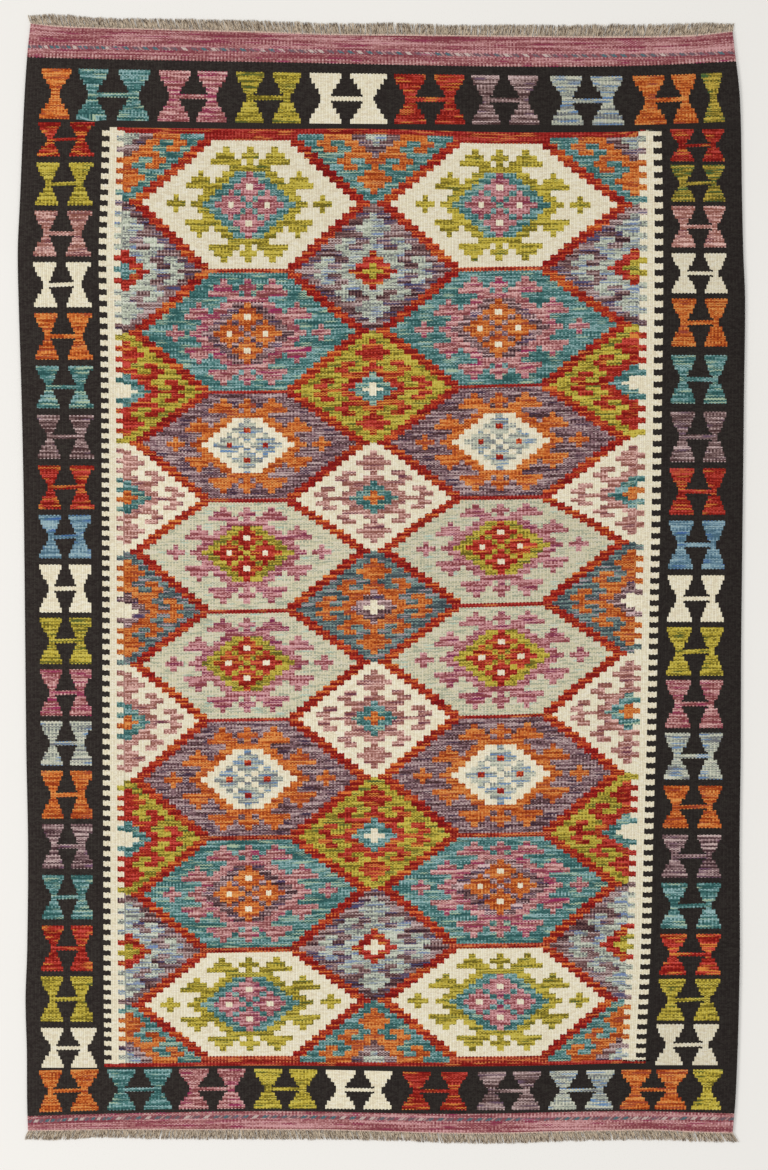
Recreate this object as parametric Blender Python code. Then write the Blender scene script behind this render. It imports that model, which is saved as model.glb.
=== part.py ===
"""A kilim rug: one flat-woven wool cloth that lies on the floor, and the cut warp ends that stand
out of both of its ends as a short fringe.

Units are metres. +X runs across the rug, +Y along it and +Z up. The rug lies on z = 0, and the
origin is under the middle of its box.
"""

import random
from collections import namedtuple

import bmesh
import bpy

CLOTH_THICKNESS = 0.003
RIM_BEVEL = 0.0008  # rounds the upper edge of the cloth
SIDE_STEPS = 48  # straight runs along each selvedge
END_STEPS = 50  # straight runs across each end

STRIP_WIDTH = 0.004  # the last rows of weft, which hold a fringe
PARTING = 0.0003  # between the cloth and that strip
LOCKS_PER_END = 150
LOCK_ROOT_HEIGHT = 0.0024
LOCK_TIP_HEIGHT = 0.0014
LOCK_TIP_SHARE = 0.6  # of its width at the root
LENGTH_JITTER = 0.08  # of a lock's length, always shorter
SIDEWAYS_JITTER = 0.001

# One row for each section across the rug, from its top end to its bottom end: how far along it
# lies, and where its two selvedges are.
Section = namedtuple("Section", "along left right")
SECTIONS = (
    Section(along=1.187, left=-0.7502, right=0.7490),
    Section(along=1.131, left=-0.7567, right=0.7556),
    Section(along=1.024, left=-0.7640, right=0.7670),
    Section(along=0.810, left=-0.7732, right=0.7715),
    Section(along=0.703, left=-0.7779, right=0.7739),
    Section(along=0.596, left=-0.7762, right=0.7779),
    Section(along=0.382, left=-0.7698, right=0.7755),
    Section(along=0.168, left=-0.7653, right=0.7732),
    Section(along=-0.153, left=-0.7619, right=0.7695),
    Section(along=-0.367, left=-0.7597, right=0.7687),
    Section(along=-0.581, left=-0.7559, right=0.7661),
    Section(along=-0.795, left=-0.7578, right=0.7668),
    Section(along=-0.902, left=-0.7614, right=0.7650),
    Section(along=-1.009, left=-0.7586, right=0.7620),
    Section(along=-1.116, left=-0.7580, right=0.7573),
    Section(along=-1.187, left=-0.7559, right=0.7510),
)

# One row for each station across an end, as a share of the rug's width from left to right: where
# the weaving stops, how long the warp ends are there, and how far each leans for its length.
Hem = namedtuple("Hem", "share stops length lean")
TOP_HEM = (
    Hem(share=0.00, stops=1.1865, length=0.0190, lean=-0.35),
    Hem(share=0.04, stops=1.1793, length=0.0300, lean=-0.30),
    Hem(share=0.10, stops=1.1762, length=0.0250, lean=-0.30),
    Hem(share=0.20, stops=1.1724, length=0.0262, lean=-0.28),
    Hem(share=0.33, stops=1.1673, length=0.0276, lean=-0.28),
    Hem(share=0.43, stops=1.1622, length=0.0272, lean=-0.20),
    Hem(share=0.53, stops=1.1609, length=0.0285, lean=-0.05),
    Hem(share=0.60, stops=1.1598, length=0.0256, lean=0.05),
    Hem(share=0.68, stops=1.1585, length=0.0280, lean=0.12),
    Hem(share=0.76, stops=1.1570, length=0.0284, lean=0.15),
    Hem(share=0.82, stops=1.1563, length=0.0304, lean=0.18),
    Hem(share=0.88, stops=1.1570, length=0.0298, lean=0.25),
    Hem(share=0.94, stops=1.1591, length=0.0310, lean=0.32),
    Hem(share=1.00, stops=1.1694, length=0.0190, lean=0.10),
)
BOTTOM_HEM = (
    Hem(share=0.00, stops=-1.1803, length=0.0210, lean=-0.40),
    Hem(share=0.04, stops=-1.1794, length=0.0240, lean=-0.30),
    Hem(share=0.10, stops=-1.1782, length=0.0200, lean=-0.30),
    Hem(share=0.20, stops=-1.1778, length=0.0230, lean=-0.15),
    Hem(share=0.33, stops=-1.1778, length=0.0235, lean=0.20),
    Hem(share=0.43, stops=-1.1784, length=0.0238, lean=0.30),
    Hem(share=0.53, stops=-1.1829, length=0.0220, lean=0.30),
    Hem(share=0.60, stops=-1.1855, length=0.0240, lean=0.25),
    Hem(share=0.68, stops=-1.1850, length=0.0246, lean=0.20),
    Hem(share=0.76, stops=-1.1818, length=0.0236, lean=0.25),
    Hem(share=0.82, stops=-1.1801, length=0.0230, lean=0.30),
    Hem(share=0.88, stops=-1.1782, length=0.0246, lean=0.35),
    Hem(share=0.94, stops=-1.1825, length=0.0236, lean=0.40),
    Hem(share=1.00, stops=-1.1852, length=0.0230, lean=0.60),
)

WEAVE_COLOUR = (0.27, 0.13, 0.09, 1.0)  # the pattern's colours seen as one from far away
FRINGE_COLOUR = (0.36, 0.29, 0.22, 1.0)  # undyed grey-beige wool
WOOL_ROUGHNESS = 0.9


def smooth(rows, key, value, at):
    """The value column at a place in the key column, on a smooth curve through all the rows."""
    rows = sorted(rows, key=lambda row: getattr(row, key))
    keys = [getattr(row, key) for row in rows]
    values = [getattr(row, value) for row in rows]
    at = min(max(at, keys[0]), keys[-1])
    last = len(keys) - 1
    low = max(i for i in range(last) if keys[i] <= at)
    high = low + 1

    def slope(i):
        before, after = max(i - 1, 0), min(i + 1, last)
        return (values[after] - values[before]) / (keys[after] - keys[before])

    span = keys[high] - keys[low]
    t = (at - keys[low]) / span
    return (
        values[low] * (2 * t**3 - 3 * t**2 + 1)
        + values[high] * (3 * t**2 - 2 * t**3)
        + slope(low) * span * (t**3 - 2 * t**2 + t)
        + slope(high) * span * (t**3 - t**2)
    )


def across(share, along):
    """X of the point that lies this share of the way from the left selvedge to the right one."""
    left = smooth(SECTIONS, "along", "left", along)
    right = smooth(SECTIONS, "along", "right", along)
    return left + share * (right - left)


def end_point(hem, share, drawn_in=0.0):
    """(x, y) where the weaving stops, drawn in towards the middle of the rug."""
    stops = smooth(hem, "share", "stops", share)
    return across(share, stops), stops - drawn_in * (1 if stops > 0 else -1)


def new_object(name, mesh, colour):
    material = bpy.data.materials.new(name)
    material.use_nodes = True
    shader = material.node_tree.nodes["Principled BSDF"]
    shader.inputs["Base Color"].default_value = colour
    shader.inputs["Roughness"].default_value = WOOL_ROUGHNESS
    shader.inputs["Metallic"].default_value = 0.0
    material.diffuse_color = colour
    data = bpy.data.meshes.new(name)
    mesh.to_mesh(data)
    mesh.free()
    data.materials.append(material)
    placed = bpy.data.objects.new(name, data)
    bpy.context.scene.collection.objects.link(placed)
    return placed


def cloth_outline(rim):
    """The cloth's edge as (x, y) points, anticlockwise from its bottom left corner. rim draws the
    whole edge in by that much."""
    inside = STRIP_WIDTH + PARTING + rim
    shares = [step / END_STEPS for step in range(END_STEPS + 1)]
    bottom = [end_point(BOTTOM_HEM, share, inside) for share in shares]
    top = [end_point(TOP_HEM, share, inside) for share in reversed(shares)]

    def side(share, start, stop, inward):
        steps = [step / SIDE_STEPS for step in range(1, SIDE_STEPS)]
        heights = [start + (stop - start) * step for step in steps]
        return [(across(share, height) + inward, height) for height in heights]

    bottom[0] = (bottom[0][0] + rim, bottom[0][1])
    bottom[-1] = (bottom[-1][0] - rim, bottom[-1][1])
    top[0] = (top[0][0] - rim, top[0][1])
    top[-1] = (top[-1][0] + rim, top[-1][1])
    right_side = side(1.0, bottom[-1][1], top[0][1], -rim)
    left_side = side(0.0, top[-1][1], bottom[0][1], rim)
    return bottom + right_side + top + left_side


def make_cloth():
    """The woven cloth: a flat underside, an upright edge and a rounded upper rim."""
    mesh = bmesh.new()
    levels = ((0.0, 0.0), (0.0, CLOTH_THICKNESS - RIM_BEVEL), (RIM_BEVEL, CLOTH_THICKNESS))
    loops = [[mesh.verts.new((x, y, z)) for x, y in cloth_outline(rim)] for rim, z in levels]
    for lower, upper in zip(loops, loops[1:]):
        for i in range(len(lower)):
            following = (i + 1) % len(lower)
            mesh.faces.new((lower[i], lower[following], upper[following], upper[i]))
    mesh.faces.new(loops[-1])
    mesh.faces.new(reversed(loops[0]))
    return new_object("kilim_cloth", mesh, WEAVE_COLOUR)


def strip_of(mesh, hem):
    """The narrow strip of weft along an end. Returns its outward faces, one for each lock."""
    rails = []
    for step in range(LOCKS_PER_END + 1):
        share = step / LOCKS_PER_END
        inner_x, inner_y = end_point(hem, share, STRIP_WIDTH)
        outer_x, outer_y = end_point(hem, share)
        corners = (
            (inner_x, inner_y, 0.0),
            (inner_x, inner_y, CLOTH_THICKNESS),
            (outer_x, outer_y, LOCK_ROOT_HEIGHT),
            (outer_x, outer_y, 0.0),
        )
        rails.append([mesh.verts.new(corner) for corner in corners])
    mesh.faces.new(rails[0])
    mesh.faces.new(rails[-1])
    outward = []
    for near, far in zip(rails, rails[1:]):
        for i in range(4):
            following = (i + 1) % 4
            face = mesh.faces.new((near[i], near[following], far[following], far[i]))
            if i == 2:
                outward.append(face)
    return outward


def draw_out_locks(mesh, roots, hem, chance):
    """Draws a lock of warp ends out of each root face. They narrow and thin towards their tips,
    and lie level on the floor."""
    direction = 1 if hem[0].stops > 0 else -1
    drawn = bmesh.ops.extrude_discrete_faces(mesh, faces=roots)["faces"]
    drawn.sort(key=lambda face: face.calc_center_median().x)
    for i, face in enumerate(drawn):
        share = (i + 0.5) / LOCKS_PER_END
        length = smooth(hem, "share", "length", share) * (1 - LENGTH_JITTER * chance.random())
        sideways = smooth(hem, "share", "lean", share) * length
        sideways += SIDEWAYS_JITTER * chance.uniform(-1, 1)
        middle = face.calc_center_median()
        for vertex in face.verts:
            vertex.co.x = middle.x + (vertex.co.x - middle.x) * LOCK_TIP_SHARE + sideways
            vertex.co.y = middle.y + direction * length
            vertex.co.z = LOCK_TIP_HEIGHT if vertex.co.z > middle.z else 0.0


def make_fringe(name, hem, seed):
    mesh = bmesh.new()
    roots = strip_of(mesh, hem)
    draw_out_locks(mesh, roots, hem, random.Random(seed))
    bmesh.ops.recalc_face_normals(mesh, faces=mesh.faces)
    return new_object(name, mesh, FRINGE_COLOUR)


def main():
    for old in list(bpy.data.objects):
        bpy.data.objects.remove(old, do_unlink=True)
    make_cloth()
    make_fringe("fringe_top", TOP_HEM, seed=1)
    make_fringe("fringe_bottom", BOTTOM_HEM, seed=2)


main()
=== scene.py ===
"""The looks of a kilim rug: its woven face with the whole pattern, its warp ends, and the stage.

The face is woven in patches, as on the loom: two end bands, two side borders, two comb strips and
the field. Each patch is a grid of rows and warps. Every face of its mesh knows the yarn that it is
woven with and the yarns above and below it, and the material turns that into single wefts. Units
are metres, +X runs across the rug, +Y along it and +Z up.
"""

import math
import random
from collections import namedtuple

import bpy
import numpy as np
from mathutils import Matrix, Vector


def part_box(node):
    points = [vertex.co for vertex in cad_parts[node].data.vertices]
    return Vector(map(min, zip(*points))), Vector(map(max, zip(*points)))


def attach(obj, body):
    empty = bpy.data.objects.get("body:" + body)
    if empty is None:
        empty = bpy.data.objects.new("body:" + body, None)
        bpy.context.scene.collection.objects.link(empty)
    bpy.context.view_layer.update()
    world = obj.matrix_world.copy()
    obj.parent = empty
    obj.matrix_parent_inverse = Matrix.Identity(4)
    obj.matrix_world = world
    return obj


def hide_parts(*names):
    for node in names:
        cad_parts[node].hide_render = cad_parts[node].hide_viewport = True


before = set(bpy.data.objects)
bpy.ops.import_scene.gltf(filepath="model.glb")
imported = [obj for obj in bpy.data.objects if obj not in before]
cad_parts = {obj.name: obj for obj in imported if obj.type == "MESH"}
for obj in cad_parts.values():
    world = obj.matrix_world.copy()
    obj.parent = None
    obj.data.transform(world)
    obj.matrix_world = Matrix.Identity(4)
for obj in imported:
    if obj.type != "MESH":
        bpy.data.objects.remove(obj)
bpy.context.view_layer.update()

bl_info = {
    "name": "Kilim rug",
    "version": (1, 0, 0),
    "blender": (4, 5, 0),
    "location": "3D View > Sidebar > Kilim",
    "description": "Weaves a flat kilim rug with its pattern, its warp ends and a plain stage",
    "category": "Object",
}


def table(columns, *rows, defaults=()):
    """The rows of a table, with its columns named. defaults are for the last columns, where a
    row leaves them out."""
    kind = namedtuple("Row", columns, defaults=defaults)
    return [kind(*row) for row in rows]


# -------- the rug's outline, as in its solid

# Sections across the rug, from its top end to its bottom end: how far along it each one lies, and
# where its two selvedges are.
SECTIONS = table(
    "along left right",
    (1.187, -0.7502, 0.7490), (1.131, -0.7567, 0.7556), (1.024, -0.7640, 0.7670),
    (0.810, -0.7732, 0.7715), (0.703, -0.7779, 0.7739), (0.596, -0.7762, 0.7779),
    (0.382, -0.7698, 0.7755), (0.168, -0.7653, 0.7732), (-0.153, -0.7619, 0.7695),
    (-0.367, -0.7597, 0.7687), (-0.581, -0.7559, 0.7661), (-0.795, -0.7578, 0.7668),
    (-0.902, -0.7614, 0.7650), (-1.009, -0.7586, 0.7620), (-1.116, -0.7580, 0.7573),
    (-1.187, -0.7559, 0.7510),
)

# Stations across an end, as a share of the rug's width from left to right: where the weaving
# stops, how long the warp ends are there, and how far each leans for its length.
HEM_COLUMNS = "share stops length lean"
TOP_HEM = table(
    HEM_COLUMNS,
    (0.00, 1.1865, 0.0190, -0.35), (0.04, 1.1793, 0.0300, -0.30), (0.10, 1.1762, 0.0250, -0.30),
    (0.20, 1.1724, 0.0262, -0.28), (0.33, 1.1673, 0.0276, -0.28), (0.43, 1.1622, 0.0272, -0.20),
    (0.53, 1.1609, 0.0285, -0.05), (0.60, 1.1598, 0.0256, 0.05), (0.68, 1.1585, 0.0280, 0.12),
    (0.76, 1.1570, 0.0284, 0.15), (0.82, 1.1563, 0.0304, 0.18), (0.88, 1.1570, 0.0298, 0.25),
    (0.94, 1.1591, 0.0310, 0.32), (1.00, 1.1694, 0.0190, 0.10),
)
BOTTOM_HEM = table(
    HEM_COLUMNS,
    (0.00, -1.1803, 0.0210, -0.40), (0.04, -1.1794, 0.0240, -0.30), (0.10, -1.1782, 0.0200, -0.30),
    (0.20, -1.1778, 0.0230, -0.15), (0.33, -1.1778, 0.0235, 0.20), (0.43, -1.1784, 0.0238, 0.30),
    (0.53, -1.1829, 0.0220, 0.30), (0.60, -1.1855, 0.0240, 0.25), (0.68, -1.1850, 0.0246, 0.20),
    (0.76, -1.1818, 0.0236, 0.25), (0.82, -1.1801, 0.0230, 0.30), (0.88, -1.1782, 0.0246, 0.35),
    (0.94, -1.1825, 0.0236, 0.40), (1.00, -1.1852, 0.0230, 0.60),
)

# -------- the set-up of the loom

WARPS = 406  # warp ends across the rug
MIDDLE_WARP = 200  # the one that the middle diamonds are centred on
CELL = 4  # warps in one cell of the field's chart
PASS = 0.0011  # from one weft to the next
WARP_PITCH = 0.00374  # from one warp to the next, near enough
COLUMN_CELLS = 18  # from the middle to a column of hexagons
COLUMN_LEFT = MIDDLE_WARP - COLUMN_CELLS * CELL
COLUMN_RIGHT = MIDDLE_WARP + COLUMN_CELLS * CELL

LEFT_BORDER = (0, 40)  # the warps that each patch takes up
FIELD = (55, 345)
RIGHT_BORDER = (362, WARPS)

# Where five of the warps run, from the top of the rug to its bottom. The rest lie evenly between
# them and the selvedges.
GUIDE_WARPS = (48, COLUMN_LEFT, MIDDLE_WARP, COLUMN_RIGHT, 352)
GUIDES = table(
    "along strip_left column_left middle column_right strip_right",
    (0.934, -0.573, -0.280, -0.011, 0.252, 0.574), (0.799, -0.577, -0.283, -0.017, 0.253, 0.577),
    (0.681, -0.580, -0.285, -0.018, 0.251, 0.577), (0.532, -0.577, -0.287, -0.019, 0.250, 0.576),
    (0.382, -0.575, -0.287, -0.018, 0.251, 0.574), (0.168, -0.574, -0.288, -0.016, 0.254, 0.571),
    (-0.068, -0.573, -0.288, -0.016, 0.257, 0.566), (-0.303, -0.573, -0.287, -0.015, 0.255, 0.561),
    (-0.549, -0.572, -0.284, -0.015, 0.255, 0.554), (-0.795, -0.571, -0.284, -0.015, 0.254, 0.547),
    (-1.009, -0.569, -0.281, -0.016, 0.255, 0.536),
)
EVENING = 0.0025  # how long they take to lie evenly from selvedge to selvedge, as in the end bands

# -------- the yarns

# Each yarn is dyed unevenly, so it has a body colour with darker and lighter lengths and now and
# then a fleck of another colour. ticks says how much of the darker and lighter colour falls on
# alternate warps, flecks how often the fleck shows, foot how much darker the last weft of each
# row is, reach how long the streaks are and grain how much one tick differs from the next.
Yarn = namedtuple(
    "Yarn",
    "name dark body light fleck ticks flecks foot reach grain",
    defaults=(0.0, 0.08, 0.25, 1.0, 0.65),
)
YARNS = (
    Yarn("black", "201a18", "282220", "2e2a26", "292320", flecks=0.0, foot=0.0, reach=0.12, grain=0.5),
    Yarn("ivory", "dcd0b6", "e8e0c4", "ece6d4", "e0d4ba", flecks=0.0, foot=0.0, reach=0.15, grain=0.4),
    Yarn("crimson", "6c0608", "9c1614", "bc4828", "d8783a", flecks=0.06, foot=0.35),
    Yarn("vermilion", "7a100e", "aa2c1c", "e0743a", "8c1c20", foot=0.4),
    Yarn("flame", "94200f", "c45a26", "e08e42", "9c2420", foot=0.7),
    Yarn("red_pair", "7c0c0c", "b03c20", "e07c38", "9c2420", flecks=0.0, foot=0.9),
    Yarn("bar_red", "740806", "961e1a", "b8463c", "d07c40", ticks=0.35, foot=0.3),
    Yarn("bar_flame", "6c0606", "a03220", "da7a52", "d07c40", ticks=0.35, foot=0.3),
    Yarn("red", "760606", "a42a1a", "ca4c42", "d88a3c", flecks=0.10, foot=0.3),
    Yarn("orange", "92340e", "ce6c2c", "de9852", "9a4434", reach=0.8),
    Yarn("lime", "6c601c", "beaa3c", "ccbc56", "4a5a2c", flecks=0.06, reach=0.8),
    Yarn("lime_green", "545016", "a28a34", "c6ae4a", "3c5c34", flecks=0.14, foot=0.3),
    Yarn("teal", "285252", "4e7e7c", "94b4b6", "a8bca0", foot=0.3),
    Yarn("blue_teal", "303e46", "566466", "849e96", "a89aa0", foot=0.3),
    Yarn("blue", "48687a", "7494a6", "9cb6bc", "3c609c", foot=0.3),
    Yarn("pink", "7e3e40", "c28a88", "dcb4b0", "942858", flecks=0.11, foot=0.5, reach=0.6),
    Yarn("mauve_pink", "8a5448", "ba8880", "e8c0b6", "6c3848", foot=0.35, reach=0.7),
    Yarn("magenta", "843c42", "c48a8c", "daa8ac", "7c2850", foot=0.45, reach=0.6),
    Yarn("rose", "803a44", "aa7272", "ce9c9e", "8c3050", flecks=0.04, foot=0.0, reach=2.0),
    Yarn("rose_edge", "74323c", "9a6060", "caa09e", "98305c", ticks=0.4, foot=0.0),
    Yarn("purple_grey", "483030", "8e7472", "ceb6b4", "6c5468", foot=0.4, grain=0.4),
    Yarn("purple_mauve", "40282c", "8e7274", "c8b2ae", "6c4c68", foot=0.4, grain=0.35),
    Yarn("heather", "361c22", "7c5a58", "c2aeac", "484870", foot=0.2, reach=1.3, grain=0.3),
    Yarn("mist", "6a6a6e", "b4bca8", "d2d6c8", "7488b0", flecks=0.10, foot=0.2),
    Yarn("lavender", "42282a", "886870", "c2acaa", "3c2c44", flecks=0.10, foot=0.2),
    Yarn("pale_blue", "6c6e74", "b2b8a6", "d4d2c0", "6488b4", flecks=0.09, grain=0.4),
    Yarn("celadon", "9ca490", "d4ccac", "d6d0bc", "a8c4b8", flecks=0.04, foot=0.0, reach=0.5, grain=0.5),
    Yarn("purple", "321a22", "846464", "d6baba", "4c3c60", foot=0.3, grain=0.35),
    Yarn("twined", "506c74", "884c54", "d0c2ba", "a86078", flecks=0.0, foot=0.0),
)
YARN_NUMBER = {yarn.name: i for i, yarn in enumerate(YARNS)}

# A cell of weaving is a yarn and the skein it comes from, a number that the material reads the
# dye lot from, and with it the painted light and shade of some figures and of the ivory. Half
# stands for the plain colour.
SKEIN_SHADE = 0.8  # from the darkest skein to the lightest, as a share of the plain colour
SKEIN_CHANCE = 0.1  # how much skeins of one shade differ
BLACK = ("black", 0.5)
IVORY = ("ivory", 0.5)
RED_LINE = ("bar_red", 0.5)

# -------- the chart of the field

# The bars between the bands of hexagons, from the top: where each lies at five warps, and how
# thick it is. The last five name its yarn and those of the diamonds that it crosses.
BAR_WARPS = (54, COLUMN_LEFT, MIDDLE_WARP, COLUMN_RIGHT, 346)
BARS = table(
    "strip_left column_left middle column_right strip_right thick line ground motif inner eye",
    (0.947, 0.944, 0.944, 0.937, 0.9375, 0.0132, "bar_red", "teal", "orange", "heather", "mist"),
    (0.656, 0.659, 0.657, 0.663, 0.665, 0.0086, "bar_flame", "heather", "mist", "red", "lime"),
    (0.4005, 0.399, 0.405, 0.4125, 0.419, 0.0064, "bar_red", "lime", "red", "teal", "ivory"),
    (0.174, 0.167, 0.173, 0.173, 0.181, 0.0086, "bar_red", "ivory", "mauve_pink", "teal", "orange"),
    (-0.0705, -0.07, -0.0615, -0.0557, -0.047, 0.0086, "bar_red", "blue_teal", "orange", "purple", "ivory"),
    (-0.308, -0.3016, -0.2984, -0.2944, -0.283, 0.0070, "bar_red", "ivory", "mauve_pink", "teal", "orange"),
    (-0.559, -0.554, -0.5503, -0.548, -0.542, 0.0096, "bar_flame", "lime", "red", "teal", "ivory"),
    (-0.798, -0.794, -0.789, -0.785, -0.782, 0.0107, "bar_flame", "heather", "mist", "red", "ivory"),
    (-1.030, -1.027, -1.028, -1.028, -1.022, 0.0128, "bar_flame", "teal", "orange", "heather", "mist"),
)
# Halfway between two bars runs the row that the hexagons' side tips lie in.
WAISTS = table(
    "strip_left column_left middle column_right strip_right",
    (0.807, 0.799, 0.8025, 0.799, 0.800), (0.526, 0.5235, 0.5305, 0.536, 0.545),
    (0.290, 0.2855, 0.291, 0.2935, 0.302), (0.058, 0.055, 0.060, 0.069, 0.079),
    (-0.184, -0.180, -0.178, -0.167, -0.159), (-0.4315, -0.429, -0.424, -0.4185, -0.414),
    (-0.676, -0.6735, -0.663, -0.657, -0.6525), (-0.912, -0.910, -0.902, -0.905, -0.899),
)
TOP_LINE = 0.0107  # the red line over the first bar
BOTTOM_LINE = 0.0086  # and under the last
ROWS_PER_BAND = 21
WAIST_ROW = (ROWS_PER_BAND + 1) // 2
WAIST_HALVES = (WAIST_ROW - 0.1, WAIST_ROW + 0.1)  # the diamonds above and below share that row
BAND_ROWS = (*range(1, WAIST_ROW), *WAIST_HALVES, *range(WAIST_ROW + 1, ROWS_PER_BAND + 1))

# The bands of hexagons, from the top. cell is how many warps one cell of the figure inside takes,
# and corner how many of the chart's cells a hexagon reaches sideways in its rows next to the bars.
HEXAGONS = table(
    "ground hooks inner flower eye cell corner",
    ("ivory", "lime", "teal", "magenta", "ivory", 3.55, 5.65),
    ("teal", "pink", "purple", "orange", "ivory", 3.55, 5.65),
    ("lavender", "orange", "ivory", "pale_blue", "vermilion", 3.55, 5.7),
    ("celadon", "magenta", "lime", "red", "ivory", 3.55, 5.85),
    ("celadon", "magenta", "lime", "red", "ivory", 3.65, 6.0),
    ("lavender", "orange", "ivory", "pale_blue", "vermilion", 3.7, 6.1),
    ("teal", "pink", "purple", "orange", "ivory", 3.8, 6.25),
    ("ivory", "lime", "teal", "magenta", "ivory", 3.9, 6.25),
)
TIP_REACH = 15.55  # how many cells they reach in their middle row
OUTLINE = 2  # cells across the stepped outline
# For each row up or down from a hexagon's middle: how far its ring of hooks reaches, in cells,
# and the loose pieces further out, each from and to.
RING = {0: 9.5, 1: 8.5, 2: 7.5, 3: 10.5, 4: 5.5, 5: 4.5, 6: 3.5}
HOOKS = {
    0: ((10.5, 13.5),), 1: ((11.5, 12.5),), 4: ((6.5, 9.5),), 5: ((7.5, 8.5),),
    7: ((0.0, 0.5), (1.5, 6.5)), 8: ((0.0, 1.5), (2.5, 5.5)), 9: ((0.0, 0.5), (3.5, 4.5)),
}
INNER_ROWS = 5
INNER_REACH = 7.5
FLOWER_AWAY = 3  # cells from the hexagon's middle to that of each of its four flowers
FLOWER_REACH = 2.5
EYE_REACH = 0.5

# For each row up or down from a diamond's middle: its motif, in cells from its middle.
DIAMOND_MOTIF = {
    0: ((3.5, 7.5),), 1: ((2.5, 4.5), (6.5, 8.5)), 2: ((1.5, 3.5), (5.5, 7.5)), 3: ((0.5, 4.5),),
    4: ((0.0, 1.5), (3.5, 5.5)), 5: ((0.0, 0.5), (2.5, 4.5)), 6: ((0.0, 1.5),),
    7: ((0.0, 2.5),), 8: ((0.0, 1.5),), 9: ((0.0, 0.5),),
}
DIAMOND_INNER = {0: 3.5, 1: 2.5, 2: 1.5, 3: 0.5}
DIAMOND_EYE = {0: 1.5, 1: 0.5}
DIAMOND_REACH = 11.4
SIDE_EYES = {(1, -1): "teal", (7, -1): "lime", (7, 1): "lime"}  # where they differ: bar and side
SIDE_SHIFT = {-1: -0.25, 1: -0.15}  # of the half diamonds at the left and right, in cells outwards
FIELD_IVORY_LOT_AND_LIGHT = 1.02  # the shade of the ivory there: partly a lighter dye lot, partly painted light
END_IVORY_PAINTED_SHADE = {0: 0.95, 7: 0.99}  # painted shade: the ivory in these bands of hexagons, near the rug's ends, is drawn darker
NEW_RED = 0.65  # how often the next step of an outline is woven with a new length of red
PAIRED_RED = 0.32  # how often that is a pair of reds, and in the first two bands
PAIRED_RED_ABOVE = 0.1

# The warps of a comb strip, its teeth towards the field, its solid middle and its other teeth.
Comb = namedtuple("Comb", "span inner solid outer")
LEFT_COMB = Comb((41.5, 54), inner=(50, 54), solid=(46, 50), outer=(42, 46))
RIGHT_COMB = Comb((346, 360.5), inner=(346, 350), solid=(350, 354), outer=(354, 359))
# Which of their teeth lies where.
LEFT_TEETH = table(
    "number along",
    (0, 0.953), (10, 0.722), (20, 0.481), (30, 0.263), (40, 0.055), (50, -0.168), (60, -0.393),
    (70, -0.610), (80, -0.833), (90, -1.034),
)
RIGHT_TEETH = table(
    "number along",
    (0, 0.954), (10, 0.694), (20, 0.428), (30, 0.177), (40, -0.064), (50, -0.294), (60, -0.529),
    (70, -0.754), (80, -0.969), (83, -1.029),
)
OVER_TEETH = 0.001  # how far a strip starts above the field

# -------- the chart of the borders

# The figures of the side borders, from the top: two hourglasses joined by a crossbar. shade is how
# light or dark a figure is drawn: partly its yarn's dye lot, partly painted light and shade for
# how the light falls on it. wider is the warps that its right hourglass has more than others.
SIDE_COLUMNS = "yarn top foot shade wider"
LEFT_FIGURES = table(
    SIDE_COLUMNS,
    ("red", 0.976, 0.904), ("lime", 0.890, 0.799, 0.94), ("mauve_pink", 0.787, 0.690, 0.88),
    ("ivory", 0.677, 0.581, 0.96), ("orange", 0.568, 0.469), ("teal", 0.455, 0.365),
    ("purple_grey", 0.350, 0.257), ("red", 0.242, 0.149), ("blue", 0.136, 0.044),
    ("ivory", 0.030, -0.072), ("lime", -0.084, -0.182), ("pink", -0.194, -0.293),
    ("pale_blue", -0.305, -0.399, 0.95), ("orange", -0.411, -0.513), ("purple_mauve", -0.525, -0.620),
    ("teal", -0.634, -0.728), ("red", -0.742, -0.839), ("lime", -0.851, -0.947, 0.92),
    ("ivory", -0.961, -1.0465, 0.94, 2),
    defaults=(1.0, 0),
)
RIGHT_FIGURES = table(
    SIDE_COLUMNS,
    ("red", 0.961, 0.893, 0.84), ("lime_green", 0.885, 0.807), ("mauve_pink", 0.797, 0.709, 0.94),
    ("ivory", 0.696, 0.611, 0.90), ("orange", 0.599, 0.497, 0.90), ("teal", 0.478, 0.375),
    ("purple_grey", 0.357, 0.250, 0.93), ("red", 0.236, 0.137, 0.87), ("blue", 0.124, 0.021),
    ("ivory", 0.007, -0.092, 1.03), ("lime", -0.104, -0.207), ("pink", -0.217, -0.319),
    ("pale_blue", -0.330, -0.429), ("orange", -0.443, -0.533, 0.95), ("purple_mauve", -0.548, -0.639),
    ("teal", -0.651, -0.748), ("red", -0.760, -0.847), ("lime", -0.856, -0.945),
    ("ivory", -0.953, -1.041, 0.93),
    defaults=(1.0, 0),
)
# The warps of the hourglasses of a figure, and of the left border's lower figures.
LEFT_GLASSES = ((8.5, 20.2), (25, 37.5))
LOWER_LEFT_GLASSES = ((8.5, 20.2), (24, 36.5))
LOWER_FIGURES = 8
RIGHT_GLASSES = ((364, 378), (383, 396))
TILTS = (-2, 4)  # millimetres that a crossbar's right end may lie higher than its left one
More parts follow.
